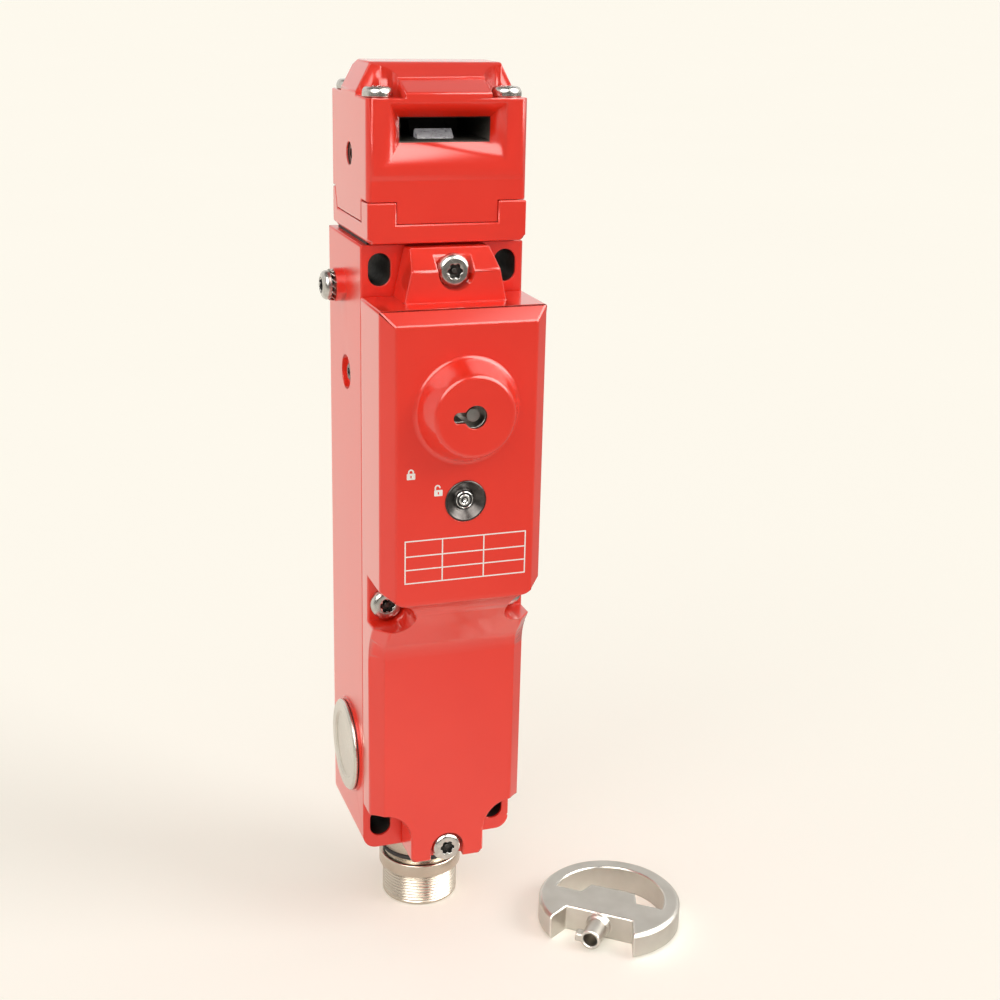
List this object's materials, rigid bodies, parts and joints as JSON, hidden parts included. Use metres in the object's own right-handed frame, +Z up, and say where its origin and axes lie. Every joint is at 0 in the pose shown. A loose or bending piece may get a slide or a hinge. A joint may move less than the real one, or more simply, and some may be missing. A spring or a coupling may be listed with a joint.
{
  "type": "tongue interlock switch",
  "caption": "Tall narrow die-cast guard-locking switch with a turret head and tongue slot, a key release boss, a round plug connector below, and its loose ring-shaped release key.",
  "frame": {"origin": "centre of the round connector's lower end, on which the switch stands", "axes": "+Z up along the housing, -Y towards the cover, the key boss and the tongue slot, +X to the right seen from the front"},
  "size_m": [0.0998, 0.0748, 0.2515],
  "materials": {
    "red_paint": "gloss",
    "seal_rubber": "matte",
    "screw_steel": "satin",
    "nickel_plate": "polished",
    "satin_nickel": "satin",
    "bright_steel": "satin",
    "black_plastic": "matte",
    "moulded_plastic": "matte",
    "contact_brass": "satin",
    "copper_winding": "satin",
    "dark_chrome": "polished",
    "lens_plastic": "gloss",
    "board_laminate": "matte"
  },
  "bodies": {
    "root": {"housing": "red_paint", "cover": "red_paint", "head_base": "red_paint", "head_housing": "red_paint", "cover_gasket": "seal_rubber", "head_seal": "seal_rubber", "plug_seal_left": "seal_rubber", "plug_seal_right": "seal_rubber", "connector_ring": "seal_rubber", "cover_screws": "screw_steel", "head_screws": "screw_steel", "earth_screw": "screw_steel", "earth_washer": "screw_steel", "side_screw": "screw_steel", "terminal_screws": "screw_steel", "conduit_plug_left": "nickel_plate", "conduit_plug_right": "nickel_plate", "connector_shell": "nickel_plate", "cam_axle": "bright_steel", "lever_pin": "bright_steel", "rotor_retainer": "bright_steel", "spring_plate": "bright_steel", "solenoid_frame": "bright_steel", "plunger_spring": "bright_steel", "armature_spring": "bright_steel", "plunger_bush": "black_plastic", "connector_insert": "black_plastic", "solenoid_bobbin": "black_plastic", "contact_block": "moulded_plastic", "fixed_contacts": "contact_brass", "connector_pins": "contact_brass", "solenoid_coil": "copper_winding", "led_bezel": "dark_chrome", "led_lens": "lens_plastic", "indicator_board": "board_laminate"},
    "cam": {"head_cam": "bright_steel"},
    "plunger_set": {"plunger": "bright_steel", "contact_carrier": "moulded_plastic", "contact_bridges": "contact_brass"},
    "rotor": {"release_rotor": "bright_steel", "rotor_seal": "seal_rubber"},
    "armature_set": {"armature": "bright_steel", "release_link": "bright_steel"},
    "lever": {"lock_lever": "bright_steel"},
    "key": {"release_key": "satin_nickel"}
  },
  "joints": [
    {"name": "cam_turn", "type": "hinge", "parent": "root", "child": "cam", "pos_m": [0, -0.003, 0.2277], "axis": [-1, 0, 0], "range_deg": [0, 65]},
    {"name": "plunger_slide", "type": "slide", "parent": "root", "child": "plunger_set", "axis": [0, 0, 1], "range_m": [0, 0.004], "deforming": ["plunger_spring"]},
    {"name": "rotor_turn", "type": "hinge", "parent": "root", "child": "rotor", "pos_m": [0, -0.045, 0.1658], "axis": [0, -1, 0], "range_deg": [0, 65]},
    {"name": "armature_slide", "type": "slide", "parent": "root", "child": "armature_set", "axis": [0, 0, -1], "range_m": [0, 0.003], "deforming": ["armature_spring"]},
    {"name": "lever_turn", "type": "hinge", "parent": "root", "child": "lever", "pos_m": [0, 0.0044, 0.144], "axis": [1, 0, 0], "range_deg": [0, 26.2]},
    {"name": "key_lift", "type": "slide", "parent": "root", "child": "key", "axis": [0, 0, 1], "range_m": [0, 0.15]}
  ],
  "couplings": [
    {"joint": "plunger_slide", "follows": "cam_turn", "m_per_rad": 0.003525},
    {"joint": "armature_slide", "follows": "rotor_turn", "m_per_rad": 0.002644},
    {"joint": "lever_turn", "follows": "rotor_turn", "ratio": 0.403}
  ]
}
